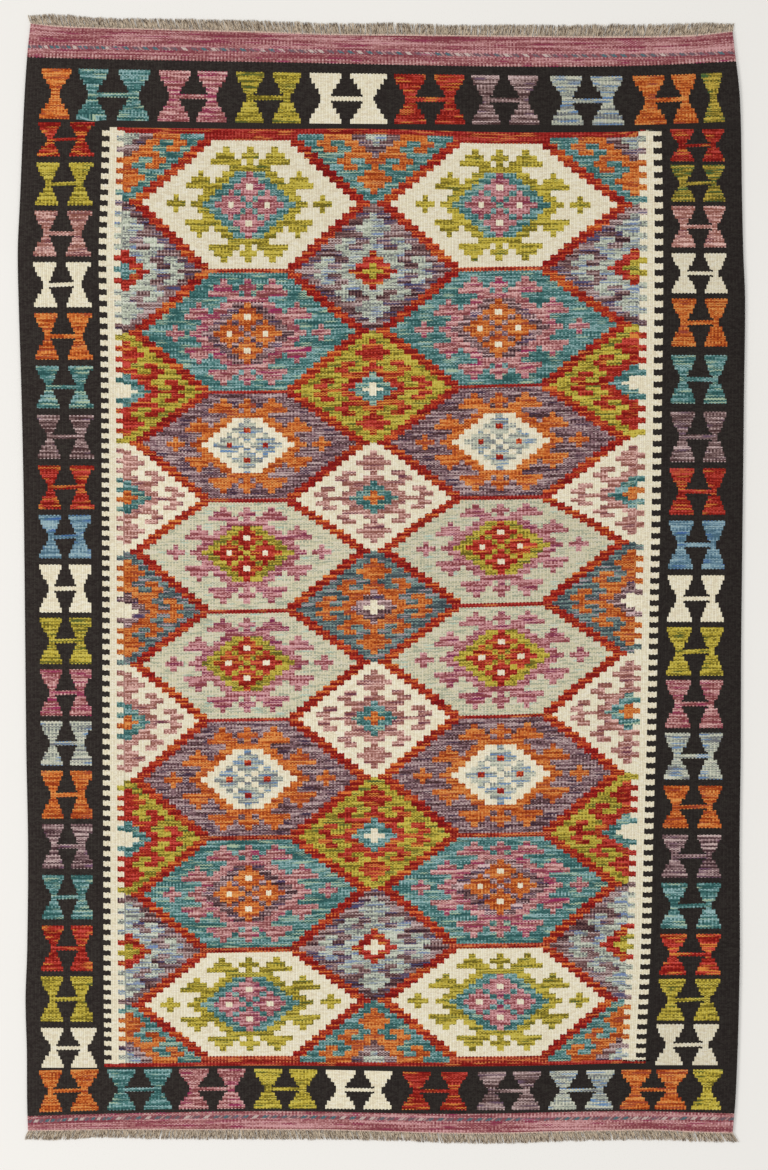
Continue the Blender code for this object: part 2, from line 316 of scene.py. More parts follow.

# The figures of the end bands, from the left: each hourglass from and to a warp. shade is, as in
# the side borders, partly the dye lot and partly painted light and shade.
END_COLUMNS = "yarn glasses shade"
TOP_FIGURES = table(
    END_COLUMNS,
    ("orange", ((9, 26),)), ("teal", ((30, 47), (53, 71))), ("pink", ((76, 94), (98, 115))),
    ("lime", ((120, 136), (141, 157))), ("ivory", ((162, 180), (185, 206))),
    ("red", ((210, 228), (233, 250)), 0.93), ("purple_grey", ((254, 270), (275, 292))),
    ("pale_blue", ((299, 317), (322, 340)), 0.95), ("orange", ((346, 364), (368, 382)), 0.89),
    ("lime_green", ((385, 397),)),
    defaults=(1.0,),
)
BOTTOM_FIGURES = table(
    END_COLUMNS,
    ("orange", ((7, 20), (25, 41)), 0.94), ("teal", ((46, 62), (67, 83))),
    ("pink", ((87, 104), (109, 125)), 0.95), ("lime", ((130, 146), (150, 166))),
    ("ivory", ((171, 188), (193, 209))), ("red", ((215, 231), (237, 252)), 0.95),
    ("purple_grey", ((258, 274), (278, 294)), 0.92), ("pale_blue", ((299, 315), (320, 336)), 1.06),
    ("orange", ((340, 357), (360, 378))), ("lime", ((381, 398),)),
    defaults=(1.0,),
)
# How wide each step of an hourglass is, from its end to its neck, as a share of its whole width.
GLASS_STEPS = (1.0, 0.84, 0.66, 0.47, 0.30, 0.28)
FIGURE_ROWS = 2 * len(GLASS_STEPS) - 1
CROSSBAR_ROW = FIGURE_ROWS // 2
CROSSBAR_SHARE = 0.85  # of another row's height
NECK_SHARE = 0.5

# The lines of an end band, at stations across the rug: the twined row in the rose stripe, where
# the rose stripe and the black part, and the figures' outer and inner ends.
STATION_COLUMNS = "share twined rose outer inner"
TOP_STATIONS = table(
    STATION_COLUMNS,
    (0.00, 1.138, 1.116, 1.092, 0.985), (0.10, 1.136, 1.112, 1.090, 0.981),
    (0.35, 1.130, 1.105, 1.083, 0.974), (0.66, 1.120, 1.096, 1.077, 0.971),
    (0.85, 1.119, 1.097, 1.075, 0.970), (1.00, 1.125, 1.107, 1.084, 0.978),
)
BOTTOM_STATIONS = table(
    STATION_COLUMNS,
    (0.00, -1.161, -1.150, -1.142, -1.053), (0.10, -1.155, -1.145, -1.137, -1.050),
    (0.35, -1.151, -1.139, -1.133, -1.049), (0.60, -1.157, -1.145, -1.136, -1.056),
    (0.85, -1.154, -1.139, -1.135, -1.051), (1.00, -1.155, -1.144, -1.136, -1.050),
)
TWINED_HEIGHT = 0.0066
TOP_EDGE_HEIGHT = 0.0086  # of the rose stripe's last row, before the black
BOTTOM_EDGE_HEIGHT = 0.4 * TOP_EDGE_HEIGHT

# -------- curves


def smooth(keys, values, at):
    """The value at each place in at, on a smooth curve through all the values at their keys."""
    keys = np.asarray(keys, float)
    order = np.argsort(keys)
    keys = keys[order]
    values = np.asarray(values, float)[order]
    last = len(keys) - 1
    before = np.maximum(np.arange(last + 1) - 1, 0)
    after = np.minimum(np.arange(last + 1) + 1, last)
    slopes = (values[after] - values[before]) / (keys[after] - keys[before])
    at = np.clip(at, keys[0], keys[-1])
    low = np.clip(np.searchsorted(keys, at, side="right") - 1, 0, last - 1)
    span = keys[low + 1] - keys[low]
    t = (at - keys[low]) / span
    return (
        values[low] * (2 * t**3 - 3 * t**2 + 1)
        + values[low + 1] * (3 * t**2 - 2 * t**3)
        + slopes[low] * span * (t**3 - 2 * t**2 + t)
        + slopes[low + 1] * span * (t**3 - t**2)
    )


def between(rows, key, value, at):
    """A table's value column at places in its key column."""
    return smooth([getattr(row, key) for row in rows], [getattr(row, value) for row in rows], at)


def hem_line(hem, warps):
    return between(hem, "share", "stops", np.asarray(warps, float) / WARPS)


def warp_x(warps, along):
    """X of points that lie on these warps, this far along the rug."""
    warps = np.asarray(warps, float)
    along = np.asarray(along, float)
    left = between(SECTIONS, "along", "left", along)
    right = between(SECTIONS, "along", "right", along)
    guides = [between(GUIDES, "along", name, along) for name in GUIDES[0]._fields[1:]]
    upper = between(TOP_STATIONS, "share", "inner", warps / WARPS)
    lower = between(BOTTOM_STATIONS, "share", "inner", warps / WARPS)
    over = np.clip(1 + (along - upper) / EVENING, 0, 1)
    under = np.clip(1 - (along - lower) / EVENING, 0, 1)
    knots = (0, *GUIDE_WARPS, WARPS)
    lines = [
        line + (left + (right - left) * knot / WARPS - line) * np.maximum(over, under)
        for knot, line in zip(knots, (left, *guides, right))
    ]
    x = np.zeros(np.broadcast(warps, along).shape)
    for i, (low, high) in enumerate(zip(knots, knots[1:])):
        share = (warps - low) / (high - low)
        x = np.where((share >= 0) & (share <= 1), lines[i] + (lines[i + 1] - lines[i]) * share, x)
    return x


def within(spans, at):
    return any(low < at < high for low, high in spans)


def chance_of(*key):
    """A random number from 0 to 1 that is always the same for the same key."""
    return random.Random(str(key)).random()


def skein_of(shade, *key):
    """A skein of this shade, give or take a little."""
    return 0.5 + (shade - 1.0) / SKEIN_SHADE + SKEIN_CHANCE * (chance_of(*key) - 0.5)


# -------- patches of weaving

Chains = namedtuple("Chains", "top foot left right")  # the points along the sides of a patch
NO_END = 1.0e5  # a weft further on than any, for faces that take no yarn from another row


class Face:
    """The rug's upper face while it is put together out of patches. A point is its warp number,
    its weft number and its place along the rug."""

    def __init__(self):
        self.points = []
        self.polygons = []
        self.yarns = []
        self.spans = []

    def point(self, *numbers):
        self.points.append(numbers)
        return len(self.points) - 1

    def polygon(self, corners, yarns, span):
        """yarns: its own, the one above and the one below. span: its lowest and highest weft,
        and its skein."""
        self.polygons.append(corners)
        self.yarns.append([(YARN_NUMBER[name] + 0.5) / len(YARNS) for name in yarns])
        self.spans.append(span)


def weft_numbers(along):
    """The weft number at each line between rows, from the top down. Each row has an even number
    of wefts."""
    wefts = [0]
    for height in along[:-1].mean(axis=1) - along[1:].mean(axis=1):
        wefts.append(wefts[-1] - 2 * max(1, round(height / (2 * PASS))))
    return wefts


def weave_patch(face, warps, along, cells, longest=12):
    """Adds a patch: warps are at the edges between its columns, along holds the places of the
    lines between its rows at each edge, and cells its rows of cells. Neighbours in a row that are
    woven alike share one polygon, up to the longest one's number of columns."""
    rows = len(cells)
    columns = len(warps) - 1
    wefts = weft_numbers(np.asarray(along))

    def yarn(row, column):
        return cells[min(max(row, 0), rows - 1)][column][0]

    cuts = []
    for row in range(rows):
        kinds = [
            (*cells[row][column], yarn(row - 1, column), yarn(row + 1, column))
            for column in range(columns)
        ]
        cut = [0]
        for column in range(1, columns):
            if kinds[column] != kinds[column - 1] or column - cut[-1] >= longest:
                cut.append(column)
        cuts.append(cut + [columns])

    lines = []
    for line in range(rows + 1):
        used = sorted({*cuts[max(line - 1, 0)], *cuts[min(line, rows - 1)]})
        lines.append({edge: face.point(warps[edge], wefts[line], along[line][edge]) for edge in used})
    for row in range(rows):
        for left, right in zip(cuts[row], cuts[row][1:]):
            lower = [lines[row + 1][edge] for edge in lines[row + 1] if left <= edge <= right]
            upper = [lines[row][edge] for edge in lines[row] if left <= edge <= right]
            own, skein = cells[row][left]
            yarns = (own, yarn(row - 1, left), yarn(row + 1, left))
            face.polygon(lower + upper[::-1], yarns, (wefts[row + 1], wefts[row], skein))
    return Chains(
        top=list(lines[0].values()),
        foot=list(lines[-1].values()),
        left=[line[0] for line in lines],
        right=[line[columns] for line in lines],
    )


def join(face, near, far, cell_at=lambda along: BLACK):
    """Fills the gap between two chains of points with triangles. far lies to the left of
    someone who walks along near. cell_at gives the cell at a place along the rug."""
    def apart(a, b):
        here, there = face.points[a], face.points[b]
        return math.hypot((here[0] - there[0]) * WARP_PITCH, here[2] - there[2])

    i = j = 0
    while i < len(near) - 1 or j < len(far) - 1:
        forward = i < len(near) - 1
        if forward and j < len(far) - 1:
            forward = apart(near[i + 1], far[j]) <= apart(near[i], far[j + 1])
        if forward:
            corners = [near[i], near[i + 1], far[j]]
            i += 1
        else:
            corners = [near[i], far[j + 1], far[j]]
            j += 1
        own, skein = cell_at(sum(face.points[corner][2] for corner in corners) / 3)
        face.polygon(corners, (own, own, own), (-NO_END, NO_END, skein))


# -------- the field

FieldRow = namedtuple("FieldRow", "bar below")  # rows below that bar, 0 on the bar itself


def field_rows():
    """The rows of the field from the top. below is -1 for the red line over the first bar, and
    None for the one under the last."""
    rows = [FieldRow(0, -1)]
    for bar in range(len(HEXAGONS)):
        rows += [FieldRow(bar, below) for below in (0, *BAND_ROWS)]
    return rows + [FieldRow(len(HEXAGONS), 0), FieldRow(len(HEXAGONS), None)]


def field_lines(warps):
    """Where the lines between the field's rows lie, as an array of lines by warps."""
    def bar_along(bar):
        return smooth(BAR_WARPS, bar[:len(BAR_WARPS)], warps)

    lines = [bar_along(BARS[0]) + BARS[0].thick / 2 + TOP_LINE]
    for upper, waist, lower in zip(BARS, WAISTS, BARS[1:]):
        start = bar_along(upper) - upper.thick / 2
        stop = bar_along(lower) + lower.thick / 2
        belly = bar_along(waist) - (start + stop) / 2
        lines.append(bar_along(upper) + upper.thick / 2)
        for step in sorted([0.5, *np.linspace(0, 1, ROWS_PER_BAND + 1)[:-1]]):
            lines.append(start + (stop - start) * step + belly * 4 * step * (1 - step))
    last = bar_along(BARS[-1])
    lines += [last + BARS[-1].thick / 2, last - BARS[-1].thick / 2]
    lines.append(last - BARS[-1].thick / 2 - BOTTOM_LINE)
    return np.array(lines)


def outline_yarn(side, row):
    """The stepped outlines are woven with short lengths of three reds."""
    row = FieldRow(row.bar, round(row.below))
    if row.below > 1 and chance_of("step", side, row) >= NEW_RED:
        return outline_yarn(side, FieldRow(row.bar, row.below - 1))
    if chance_of("red", side, row) < (PAIRED_RED if row.bar > 1 else PAIRED_RED_ABOVE):
        return "red_pair"
    pick = chance_of("plain red", side, row)
    return "crimson" if pick < 0.52 else "vermilion" if pick < 0.84 else "flame"


def hexagon_part(row, at):
    """row and at count from the hexagon's middle, up or down and sideways."""
    if row <= INNER_ROWS and at < INNER_REACH - row:
        from_side_flower = abs(at - FLOWER_AWAY) + row
        from_end_flower = at + abs(row - FLOWER_AWAY)
        from_flower = min(from_side_flower, from_end_flower)
        return "eye" if from_flower < EYE_REACH else "flower" if from_flower < FLOWER_REACH else "inner"
    return "hooks" if at < RING.get(row, 0.0) or within(HOOKS.get(row, ()), at) else "ground"


def diamond_part(row, at):
    """row and at count from the diamond's middle."""
    if at < DIAMOND_EYE.get(row, 0.0):
        return "eye"
    if at < DIAMOND_INNER.get(row, 0.0):
        return "inner"
    return "motif" if within(DIAMOND_MOTIF.get(row, ()), at) else "ground"


def field_cell(row, warp):
    """The cell at a warp in a row of the field."""
    if row.below is None or row.below == -1:
        return RED_LINE
    cell = (warp - MIDDLE_WARP) / CELL
    side = 1 if cell > 0 else -1
    outer = abs(cell) > COLUMN_CELLS
    from_hexagon = abs(abs(cell) - COLUMN_CELLS)
    hexagon = HEXAGONS[min(row.bar, len(HEXAGONS) - 1)]
    from_waist = abs(round(row.below) - WAIST_ROW)
    slope = (TIP_REACH - hexagon.corner) / (WAIST_ROW - 1)
    reach = TIP_REACH - from_waist * slope
    if from_hexagon > reach + OUTLINE:
        nearest = row.bar if row.below < WAIST_ROW else row.bar + 1
        widest = COLUMN_CELLS - OUTLINE - TIP_REACH + WAIST_ROW * slope
        shift = SIDE_SHIFT[side] if outer else 0.0
        at = (COLUMN_CELLS + shift - from_hexagon) * DIAMOND_REACH / widest
        at = max(at, 0.1) if outer else abs(at)  # a half diamond runs on into the strip
        part = diamond_part(WAIST_ROW - from_waist, at)
        name = getattr(BARS[nearest], part)
        if outer and part == "eye":
            name = SIDE_EYES.get((nearest, side), name)
        # The ivory's shade here is partly its dye lot and partly painted light.
        shade = FIELD_IVORY_LOT_AND_LIGHT if name == "ivory" else 1.0
        return name, skein_of(shade, "diamond", nearest, outer, side * outer, part)
    if row.below == 0:
        return BARS[row.bar].line, skein_of(1.0, "bar", row.bar, side)
    if from_hexagon < reach:
        part = hexagon_part(from_waist, from_hexagon * CELL / hexagon.cell)
        name = getattr(hexagon, part)
        # The ivory's shade here is partly its dye lot and partly painted light and shade.
        shade = END_IVORY_PAINTED_SHADE.get(row.bar, FIELD_IVORY_LOT_AND_LIGHT) if name == "ivory" else 1.0
        return name, skein_of(shade, "hexagon", row.bar, side, part)
    outline = (side, outer, row.below < WAIST_ROW)
    return outline_yarn(outline, row), skein_of(1.0, "outline", outline, row)


def field_cell_at(warp, along):
    """The field's cell on a warp at a place along the rug."""
    rows = field_rows()
    lines = field_lines(np.array([warp], float))[:, 0]
    row = int(np.clip(np.searchsorted(-lines, -along) - 1, 0, len(rows) - 1))
    return field_cell(rows[row], warp)


def weave_field(face):
    warps = list(range(FIELD[0], FIELD[1] + 1))
    middles = [(low + high) / 2 for low, high in zip(warps, warps[1:])]
    cells = [[field_cell(row, middle) for middle in middles] for row in field_rows()]
    return weave_patch(face, warps, field_lines(np.array(warps, float)), cells)


# -------- the comb strips


def strip_cell(comb, at, along, tooth, last):
    """The cell at a warp of a comb strip. last is true in the red line under it."""
    if last:
        ends = [edge for part in (comb.inner, comb.outer) for edge in part]
        return RED_LINE if min(ends) < at < max(ends) else BLACK
    if within([comb.solid], at) or tooth and within([comb.inner, comb.outer], at):
        return IVORY
    return field_cell_at(at, along) if within([comb.inner], at) else BLACK


def weave_strip(face, comb, teeth):
    """A strip of ivory with teeth on both sides."""
    middles = between(teeth, "number", "along", np.arange(teeth[-1].number + 1))
    half = (middles[:-1] - middles[1:]) / 4
    half = np.append(half, half[-1])
    inner_middle = sum(comb.inner) / 2
    warps = sorted({*comb.span, *comb.outer, *comb.solid, inner_middle, *comb.inner})
    field = field_lines(np.array([inner_middle]))[:, 0]
    lines = [field[0] + OVER_TEETH]
    for middle, reach in zip(middles, half):
        lines += [middle + reach, middle - reach]
    lines += [field[-2], field[-1]]
    cells = [
        [
            strip_cell(comb, (left + right) / 2, (high + low) / 2, row % 2 == 1, low == lines[-1])
            for left, right in zip(warps, warps[1:])
        ]
        for row, (high, low) in enumerate(zip(lines, lines[1:]))
    ]
    return weave_patch(face, warps, [[line] * len(warps) for line in lines], cells)


# -------- the borders and end bands


def glass_edges(glass, step):
    """The warps from and to which an hourglass reaches at a step from its end."""
    share = GLASS_STEPS[min(step, FIGURE_ROWS - 1 - step)]
    middle = sum(glass) / 2
    half = (glass[1] - glass[0]) * share / 2
    return round(middle - half), max(round(middle + half), round(middle - half) + 2)


def figure_row(figures, step, warps, key):
    """The cells of one row of the figures that stand side by side on black."""
    spans = []
    for figure in figures:
        covered = [glass_edges(glass, step) for glass in figure.glasses]
        if step == CROSSBAR_ROW and len(covered) == 2:
            covered.append((covered[0][1], covered[1][0]))
        spans.append(covered)
    line = []
    for left, right in zip(warps, warps[1:]):
        found = [i for i, covered in enumerate(spans) if within(covered, (left + right) / 2)]
        if found:
            figure = figures[found[0]]
            line.append((figure.yarn, skein_of(figure.shade, key, found[0])))
        else:
            line.append(BLACK)
    return line


def figure_shares():
    """How far down a figure each line between its rows lies, from 0 to 1."""
    heights = [1.0] * FIGURE_ROWS
    heights[CROSSBAR_ROW - 1:CROSSBAR_ROW + 2] = [NECK_SHARE, CROSSBAR_SHARE, NECK_SHARE]
    return np.concatenate(([0.0], np.cumsum(heights))) / sum(heights)


def weave_side_border(face, span, figures, glasses, lower_glasses, name):
    """A column of figures on black."""
    warps = list(range(span[0], span[1] + 1))
    left, right = (glass[0] + (glass[1] - glass[0]) / 2 for glass in glasses)
    slant = np.clip((np.array(warps, float) - left) / (right - left), 0, 1) - 0.5
    along = []
    cells = []
    for number, figure in enumerate(figures):
        near, far = glasses if number < LOWER_FIGURES else lower_glasses
        glasses_here = (near, (far[0], far[1] + figure.wider))
        alone = table(END_COLUMNS, (figure.yarn, glasses_here, figure.shade))
        tilt = 0.001 * ((TILTS[1] - TILTS[0]) * chance_of(name, number, "tilt") + TILTS[0])
        for share in figure_shares():
            height = figure.top + (figure.foot - figure.top) * share
            along.append(height + tilt * (1 - abs(2 * share - 1)) * slant)
        cells += [figure_row(alone, step, warps, (name, number)) for step in range(FIGURE_ROWS)]
        cells.append([BLACK] * (len(warps) - 1))
    return weave_patch(face, warps, np.array(along), cells[:-1])


def weave_end_band(face, hem, stations, figures, name):
    """The rose stripe with its twined row, then black with a row of figures."""
    warps = list(range(WARPS + 1))
    at_top = hem[0].stops > 0
    inward = -1 if at_top else 1
    twined, rose, outer, inner = (
        between(stations, "share", line, np.array(warps, float) / WARPS)
        for line in STATION_COLUMNS.split()[1:]
    )
    lines = [
        hem_line(hem, warps),
        twined - inward * TWINED_HEIGHT / 2,
        twined + inward * TWINED_HEIGHT / 2,
        rose - inward * (TOP_EDGE_HEIGHT if at_top else BOTTOM_EDGE_HEIGHT),
        rose,
        *(outer + (inner - outer) * share for share in figure_shares()),
    ]
    stripes = (
        ("rose", skein_of(1.0, name, "rose")),
        ("twined", 0.55 if at_top else 0.45),  # which way its turns slant
        ("rose", skein_of(1.0, name, "rose again")),
        ("rose_edge", 0.5),
        BLACK,
    )
    cells = [[stripe] * WARPS for stripe in stripes]
    cells += [figure_row(figures, step, warps, name) for step in range(FIGURE_ROWS)]
    if not at_top:
        lines.reverse()
        cells.reverse()
    return weave_patch(face, warps, np.array(lines), cells, longest=8)


# -------- the whole cloth

# How wide each edge's curl is, and how high beside that of the right edge.
Curl = namedtuple("Curl", "width height")
LEFT_CURL = Curl(0.05, 0.25)
RIGHT_CURL = Curl(0.07, 1.0)
TOP_CURL = Curl(0.05, 0.55)
BOTTOM_CURL = Curl(0.05, 0.25)
FLAT_EDGE = 0.12  # the width along the edges that the broad waves die away in
HALF_WIDTH = 0.77
WAVES = ((9.1, 2.3, 0.4), (-3.1, 7.3, 1.9))  # how fast each turns across and along, and its start
WAVE_SHARE = 0.25  # of their whole height, that one of them takes either way
RIM_SHARE = 0.32  # of the cloth's thickness, the width that its edge is rounded over
SMOOTH_ANGLE = math.radians(50)


def weave_face():
    """All the patches, joined."""
    face = Face()
    top = weave_end_band(face, TOP_HEM, TOP_STATIONS, TOP_FIGURES, "top")
    left = weave_side_border(face, LEFT_BORDER, LEFT_FIGURES, LEFT_GLASSES, LOWER_LEFT_GLASSES, "left")
    left_strip = weave_strip(face, LEFT_COMB, LEFT_TEETH)
    field = weave_field(face)
    right_strip = weave_strip(face, RIGHT_COMB, RIGHT_TEETH)
    right = weave_side_border(face, RIGHT_BORDER, RIGHT_FIGURES, RIGHT_GLASSES, RIGHT_GLASSES, "right")
    bottom = weave_end_band(face, BOTTOM_HEM, BOTTOM_STATIONS, BOTTOM_FIGURES, "bottom")

    join(face, left.right, left_strip.left)
    join(face, left_strip.right, field.left, lambda along: field_cell_at(FIELD[0], along))
    join(face, field.right, right_strip.left, lambda along: field_cell_at(FIELD[1], along))
    join(face, right_strip.right, right.left)
    middle = (left, left_strip, field, right_strip, right)
    join(face, [point for patch in middle for point in patch.top], top.foot)
    join(face, bottom.top, [point for patch in middle for point in patch.foot])
    return face


def lift(x, y, sizes):
    """How high the cloth stands off the floor: its edges curl up a little and its middle has
    low, broad waves."""
    def rise(distance, curl):
        t = np.clip(1 - distance / curl.width, 0, 1)
        return t * t * (3 - 2 * t) * curl.height

    warps = np.clip((x + HALF_WIDTH) / (2 * HALF_WIDTH), 0, 1) * WARPS
    left = x - between(SECTIONS, "along", "left", y)
    right = between(SECTIONS, "along", "right", y) - x
    top = hem_line(TOP_HEM, warps) - y
    bottom = y - hem_line(BOTTOM_HEM, warps)
    curl = np.maximum.reduce([
        rise(left, LEFT_CURL), rise(right, RIGHT_CURL), rise(top, TOP_CURL), rise(bottom, BOTTOM_CURL),
    ])
    waves = 0.5
    for across, along, start in WAVES:
        waves = waves + WAVE_SHARE * np.sin(across * x + along * y + start)
    inside = np.clip(np.minimum.reduce([left, right, top, bottom]) / FLAT_EDGE, 0, 1)
    return sizes.edge_curl * curl + sizes.waves * waves * inside


def new_object(name, data):
    made = bpy.data.objects.new(name, data)
    bpy.context.scene.collection.objects.link(made)
    return made


def deselect_all():
    bpy.ops.object.select_all(action="DESELECT")


def make_active(thing):
    deselect_all()
    thing.select_set(True)
    bpy.context.view_layer.objects.active = thing


def apply_modifier(thing, kind, name, **settings):
    make_active(thing)
    modifier = thing.modifiers.new(name, kind)
    for key, value in settings.items():
        setattr(modifier, key, value)
    bpy.ops.object.modifier_apply(modifier=name)


def places_of(mesh):
    places = np.zeros(len(mesh.vertices) * 3)
    mesh.vertices.foreach_get("co", places)
    return places.reshape(-1, 3)


def add_uv_map(mesh, name, values):
    """values holds one pair of numbers for each of the mesh's points."""
    corners = np.zeros(len(mesh.loops), np.int32)
    mesh.loops.foreach_get("vertex_index", corners)
    layer = mesh.uv_layers.new(name=name)
    layer.data.foreach_set("uv", values[corners].astype(np.float32).ravel())


def cloth_mesh(face, thickness):
    """The upper face as a mesh that carries its weave: warp and weft numbers in a UV map, and
    yarns and spans on its faces."""
    numbers = np.array(face.points, float)
    x = warp_x(numbers[:, 0], numbers[:, 2])
    places = np.column_stack([x, numbers[:, 2], np.full(len(x), thickness)])
    mesh = bpy.data.meshes.new("kilim")
    mesh.from_pydata(places.tolist(), [], face.polygons)
    add_uv_map(mesh, "weave", numbers[:, :2])
    for name, values in (("yarns", face.yarns), ("spans", face.spans)):
        attribute = mesh.attributes.new(name, "FLOAT_VECTOR", "FACE")
        attribute.data.foreach_set("vector", np.array(values, np.float32).ravel())
    return mesh


def make_cloth(sizes):
    cloth = new_object("kilim", cloth_mesh(weave_face(), sizes.thickness))
    apply_modifier(cloth, "SOLIDIFY", "thickness", thickness=sizes.thickness, offset=-1.0)
    apply_modifier(
        cloth, "BEVEL", "rounded_edge", width=sizes.thickness * RIM_SHARE, segments=2,
        limit_method="ANGLE", angle_limit=math.radians(60),
    )
    places = places_of(cloth.data)
    places[:, 2] += lift(places[:, 0], places[:, 1], sizes)
    cloth.data.vertices.foreach_set("co", places.astype(np.float32).ravel())
    # A second UV map lays the whole cloth flat, both faces alike.
    flat = places_of(cloth.data)[:, :2]
    low = flat.min(axis=0)
    add_uv_map(cloth.data, "OFBake", (flat - low) / (flat.max(axis=0) - low))
    make_active(cloth)
    bpy.ops.object.shade_smooth_by_angle(angle=SMOOTH_ANGLE)
    return cloth


# -------- materials


def linear(code):
    """A colour written as six hexadecimal digits, as Blender's linear values."""
    parts = [int(code[i:i + 2], 16) / 255 for i in (0, 2, 4)]
    return [c / 12.92 if c <= 0.04045 else ((c + 0.055) / 1.055) ** 2.4 for c in parts]


def sum_of(operation, swapped=False):
    """What a sign between two values adds to their recipe."""
    def method(self, other):
        return self.recipe.maths(operation, *((other, self) if swapped else (self, other)))

    return method


class Value:
    """What comes out of a node. Sums with it are written as with numbers."""

    __add__ = __radd__ = sum_of("ADD")
    __sub__ = sum_of("SUBTRACT")
    __rsub__ = sum_of("SUBTRACT", swapped=True)
    __mul__ = __rmul__ = sum_of("MULTIPLY")
    __truediv__ = sum_of("DIVIDE")
    __mod__ = sum_of("MODULO")
    __lt__ = sum_of("LESS_THAN")
    __gt__ = sum_of("GREATER_THAN")

    def __init__(self, recipe, socket):
        self.recipe = recipe
        self.socket = socket


class Recipe:
    """A material whose nodes are added and joined as they are called for."""

    def __init__(self, name):
        self.material = bpy.data.materials.new(name)
        self.material.use_nodes = True
        self.tree = self.material.node_tree

    def feed(self, socket, value):
        if isinstance(value, Value):
            self.tree.links.new(value.socket, socket)
        else:
            socket.default_value = value

    def node(self, kind, output=0, inputs=(), **settings):
        """Adds a node and returns one of its outputs."""
        made = self.tree.nodes.new(kind)
        for key, value in settings.items():
            setattr(made, key, value)
        for key, value in dict(inputs).items():
            self.feed(made.inputs[key], value)
        return Value(self, made.outputs[output])

    def maths(self, operation, first, second=0.0, clamp=False):
        inputs = {0: first, 1: second}
        return self.node("ShaderNodeMath", 0, inputs, operation=operation, use_clamp=clamp)

    def floor(self, value):
        return self.maths("FLOOR", value)

    def fraction(self, value):
        return self.maths("FRACT", value)

    def blend(self, share, first, second, how="MIX"):
        inputs = {0: share, 6: first, 7: second}
        return self.node("ShaderNodeMix", 2, inputs, data_type="RGBA", blend_type=how)

    def dimmed(self, colour, share):
        return self.blend(1.0, colour, self.point(share, share, share), "MULTIPLY")

    def spread(self, value, low, high):
        """Stretches the range from low to high to the range from 0 to 1, and cuts off the rest."""
        inputs = {"Value": value, "From Min": low, "From Max": high}
        return self.node("ShaderNodeMapRange", 0, inputs)

    def parts(self, vector, kind="ShaderNodeSeparateXYZ"):
        first = self.node(kind, 0, {0: vector})
        return [Value(self, socket) for socket in first.socket.node.outputs]

    def channels(self, colour):
        return self.parts(colour, "ShaderNodeSeparateColor")

    def point(self, x, y, z):
        return self.node("ShaderNodeCombineXYZ", 0, {0: x, 1: y, 2: z})

    def place(self):
        return self.node("ShaderNodeTexCoord", "Object")

    def uv(self, name):
        return self.parts(self.node("ShaderNodeUVMap", uv_map=name))[:2]

    def attribute(self, name):
        return self.parts(self.node("ShaderNodeAttribute", "Vector", attribute_name=name))

    def noise(self, place, scale=1.0, detail=1.0):
        inputs = {"Vector": place, "Scale": scale, "Detail": detail}
        return self.node("ShaderNodeTexNoise", 0, inputs)

    def lots(self, place):
        """A number from 0 to 1 drawn anew for each place."""
        return self.node("ShaderNodeTexWhiteNoise", "Value", {"Vector": place})

    def chart(self, place, stops):
        """Colours that change at once from one to the next: stops are (from, colour)."""
        made = self.node("ShaderNodeValToRGB", 0, {0: place})
        ramp = made.socket.node.color_ramp
        ramp.interpolation = "CONSTANT"
        while len(ramp.elements) < len(stops):
            ramp.elements.new(1.0)
        for element, (start, colour) in zip(ramp.elements, stops):
            element.position = start
            element.color = (*colour, 1.0)
        return made

    def finish(self, colour, height, strength, depth, roughness, specular, sheen=0.0):
        """Feeds the shader. strength and depth are of the bumps that height gives."""
        bumps = {"Strength": strength, "Distance": depth, "Height": height}
        inputs = {
            "Base Color": colour,
            "Normal": self.node("ShaderNodeBump", 0, bumps),
            "Roughness": roughness,
            "Specular IOR Level": specular,
            "Sheen Weight": sheen,
        }
        for name, value in inputs.items():
            self.feed(self.tree.nodes["Principled BSDF"].inputs[name], value)
        return self.material


def grey(level):
    return (level, level, level)


def by_yarn(values):
    """Stops of a chart with one value for each yarn."""
    return [(i / len(YARNS), value) for i, value in enumerate(values)]


def shades_of(yarns, shade):
    """One shade of every yarn, changed as its body colour was."""
    for yarn in YARNS:
        yield [
            min(1.0, part * now / max(was, 1e-4))
            for part, now, was in zip(
                linear(getattr(yarn, shade)), getattr(yarns, yarn.name), linear(yarn.body)
            )
        ]


STREAK = (0.38, 0.62)  # the range of a noise that gives a yarn's darkest and lightest colour
NEXT_PAIR = 0.78  # how far the dye moves on from one pair of wefts to the next
NEXT_WEFT = 0.12  # and within a pair
BROAD_WARPS = 60.0  # the size of the slow changes of the dye
BROAD_PAIRS = 0.11
TICKED_WARPS = 34.0  # the size of the places where the two wefts of a pair differ
TICKED_PAIRS = 0.4
TICKED = (0.48, 0.72)  # the range of their noise in which they come to differ
TICKED_MOST = 0.5
FLECK_WARPS = 14.0
FLECKED = (0.70, 0.80)
LOT_PER_SKEIN = 60.0  # how far another skein or another yarn moves the dye's noise
LOT_PER_YARN = 37.0
NEARLY = 0.01  # of a weft, so that a whole number isn't taken for the next one
FOOT_LINE = (0.48, 0.36)  # the part of a row's height over which its foot darkens
FOOT_DEPTH = 0.8
BEAD_SHARE = 0.55  # of a rib's height, that the beads on it take up
PAINTED_HOLLOW_SHADE = 0.78  # painted shade: how light the hollows between ribs are drawn, and painted light: how much lighter a rib's crest is
PAINTED_CREST_LIGHT = 0.26
PAINTED_WEFT_LIGHT = 0.045  # painted light: how much lighter every other weft is drawn, so that the ribs show as faint lit stripes
TWINED_TURN = 5.6  # warps that one turn of the twined row's two strands takes
TIGHT_TURNS = 0.11  # of the width, at the left end, where they are twined closer
TIGHTER = 0.7  # more turns there, as a share of the others
TWINED_SHARE = 0.46  # of a turn that shows the strand on top, and how much more where it is tight
TIGHT_SHARE = 0.14
TURN_SLANT = 7.0
BESIDE = (0.22, 0.78)  # the gap beside the strand: how far it is set back, and where it starts
